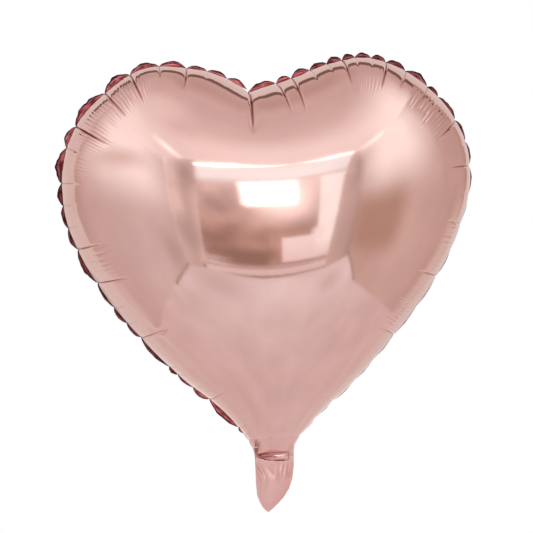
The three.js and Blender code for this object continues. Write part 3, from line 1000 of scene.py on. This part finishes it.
def front_wall():
    y = FRONT
    panel("top_band", [(-0.185, y, 0.418), (0.262, y, 0.437), (0.29, y, 0.536), (-0.168, y, 0.508)],
          [(0, (0.9, 0.92, 0.94)), (0.35, PALE), (1, PALE)])
    panel("left_shoulder", [(-0.32, y, 0.4), (-0.182, y, 0.4), (-0.16, y, 0.54), (-0.28, y, 0.55)],
          [(0, (0.84, 0.8, 0.79)), (1, (0.7, 0.64, 0.62))], "U")
    panel("right_shoulder", [(0.258, y, 0.4), (0.36, y, 0.4), (0.37, y, 0.55), (0.288, y, 0.55)],
          [(0, (0.74, 0.68, 0.66)), (1, (0.78, 0.73, 0.71))], "U")
    panel("left_jamb", [(-0.32, y, 0.02), (-0.228, y, 0.04), (-0.18, y, 0.42), (-0.3, y, 0.42)],
          [(0, (0.7, 0.64, 0.62)), (0.55, (0.64, 0.58, 0.56)), (1, (0.8, 0.75, 0.74))], "U")
    panel("right_post", [(0.176, y, 0.06), (0.228, y, 0.06), (0.262, y, 0.437), (0.177, y, 0.437)],
          [(0, (0.86, 0.84, 0.84)), (0.3, (1.15, 1.28, 1.31)), (1, (1.2, 1.36, 1.4))])
    panel("right_jamb", [(0.226, y, 0.03), (0.335, y, 0.05), (0.36, y, 0.42), (0.258, y, 0.42)],
          [(0, (0.66, 0.59, 0.57)), (0.5, (0.6, 0.53, 0.5)), (1, (0.5, 0.42, 0.38))], "U")
    upright("room", y - 0.01, -0.25, 0.24, 0.04, 0.45,
            [(0, (0.46, 0.34, 0.3)), (0.35, BROWN), (0.6, (0.68, 0.57, 0.53)),
             (1, (0.86, 0.8, 0.78))], 0.3)
    upright("pale_box", y, 0.058, 0.2, 0.088, 0.18, [(0, (0.92, 0.92, 0.94)), (1, (1.02, 1.06, 1.09))])
    for name, (x0, z0), (x1, z1), ahead, width, colour in WALL_STRIPS:
        strip(name, (x0, y + ahead, z0), (x1, y + ahead, z1), width, colour)
    upright("below_sill", y - 0.02, -0.8, 0.85, -0.4, 0.06,
            [(0, (0.74, 0.7, 0.71)), (0.45, (0.76, 0.73, 0.75)), (0.85, (0.87, 0.87, 0.92)),
             (1, (0.8, 0.77, 0.8))])


def side_walls():
    panel("left_wall",
          [(-0.32, FRONT, 0.036), (-0.43, 0.03, -0.205), (-0.43, 0.03, 0.75), (-0.3, FRONT, 0.55)],
          [(0, (0.66, 0.6, 0.6)), (0.4, (0.7, 0.65, 0.65)), (0.75, (0.64, 0.56, 0.55)),
           (1, (0.58, 0.48, 0.46))], "U")
    panel("right_wall_front",
          [(0.335, FRONT, 0.07), (0.37, -0.4, -0.06), (0.4, -0.26, 0.56), (0.35, FRONT, 0.55)],
          [(0, (0.62, 0.54, 0.51)), (1, (0.6, 0.5, 0.46))], "U")
    panel("right_wall",
          [(0.37, -0.4, -0.06), (0.5, 0.22, -0.185), (0.5, 0.22, 0.72), (0.37, -0.4, 0.58)],
          [(0, (0.62, 0.53, 0.5)), (0.3, (0.66, 0.58, 0.55)), (0.7, (0.58, 0.48, 0.45)),
           (1, (0.5, 0.38, 0.34))], "U")
    strip("left_corner_line", (-0.319, FRONT, 0.031), (-0.351, -0.35, -0.037), 0.01, CORNER_LINE)
    strip("right_corner_line", (0.333, FRONT, 0.066), (0.366, -0.41, -0.052), 0.01, CORNER_LINE)


def ceiling_and_floor():
    panel("ceiling", [(-0.6, FRONT, 0.55), (0.6, FRONT, 0.55), (0.6, 0.1, 0.73), (-0.6, 0.3, 0.78)],
          [(0, (0.84, 0.79, 0.79)), (0.25, (0.79, 0.73, 0.72)), (0.6, (0.69, 0.61, 0.6)),
           (1, (0.6, 0.5, 0.49))])
    strip("ceiling_edge", (-0.6, 0.3, 0.77), (0.6, 0.1, 0.72), 0.13, LINE)
    y = FRONT - 0.02
    panel("floor", [(-0.9, y, -0.3), (0.9, y, -0.3), (0.9, 0.3, -0.33), (-0.9, 0.3, -0.33)],
          [(0, (0.74, 0.7, 0.71)), (0.4, (0.72, 0.655, 0.665)), (1, (0.73, 0.66, 0.65))])


def rear():
    upright("back_paper", REAR, -1.0, 1.0, -0.6, 1.1, PAPER, 0.02)
    upright("back_room", BEHIND, -0.4, 0.4, -0.05, 0.52,
            [(0, (0.62, 0.57, 0.55)), (0.3, (0.66, 0.61, 0.59)), (0.8, (0.78, 0.76, 0.75)),
             (1, (0.76, 0.74, 0.73))], 0.04)
    y = BEHIND - 0.005
    strip("back_skirting", (-0.4, y, 0.02), (0.4, y, 0.02), 0.02, (0.44, 0.37, 0.34))
    for name, x, y, far in (("left_paper", -0.43, 0.03, -1.0), ("right_paper", 0.5, 0.22, 1.0)):
        panel(name, [(x, y, -0.6), (far, REAR, -0.6), (far, REAR, 1.1), (x, y, 1.1)], PAPER)
    panel("top_paper", [(-1.0, 0.2, 0.8), (1.0, 0.2, 0.8), (1.0, REAR, 1.1), (-1.0, REAR, 1.1)], PAPER)


def ground():
    """The pale floor under the balloon."""
    bpy.ops.mesh.primitive_circle_add(vertices=96, radius=3.0, fill_type="NGON", location=(0, 0, -1.1))
    disc = bpy.context.object
    disc.name = "pale_floor"
    material, n, _ = new_material("pale_floor")
    n["Principled BSDF"].inputs["Base Color"].default_value = (0.92, 0.92, 0.92, 1)
    n["Principled BSDF"].inputs["Roughness"].default_value = 0.9
    disc.data.materials.append(material)


def build_studio():
    world = bpy.data.worlds.new("white_room")
    bpy.context.scene.world = world
    world.use_nodes = True
    background = world.node_tree.nodes["Background"]
    background.inputs["Color"].default_value = (1, 1, 1, 1)
    background.inputs["Strength"].default_value = 1.0
    bpy.context.scene.view_settings.view_transform = "Standard"
    front_wall()
    side_walls()
    ceiling_and_floor()
    rear()
    for name, x, z, ahead, half_width, half_height, colour, core in WALL_LIGHTS:
        soft_light(name, (x, FRONT + ahead, z), (half_width, 0, 0), (0, 0, half_height), colour, core)
    for light in TENT_LIGHTS:
        soft_light(*light)
    ground()


def build_camera():
    """The photograph's viewing angle: level, a little to the left, with a long lens and a slight roll."""
    distance, lens = 1.9, 135.0
    azimuth, elevation, roll = math.radians(-5), math.radians(2.5), math.radians(-3)
    target = Vector((0.003, 0, 0.1766))
    back = Vector((math.sin(azimuth) * math.cos(elevation), -math.cos(azimuth) * math.cos(elevation),
                   math.sin(elevation)))
    camera = new_object("camera", bpy.data.cameras.new("camera"))
    camera.data.lens = lens
    turn = (-back).to_track_quat("-Z", "Y").to_matrix().to_4x4() @ Matrix.Rotation(roll, 4, "Z")
    camera.matrix_world = Matrix.Translation(target + back * distance) @ turn
    bpy.context.scene.camera = camera


build_balloon()
build_studio()
build_camera()
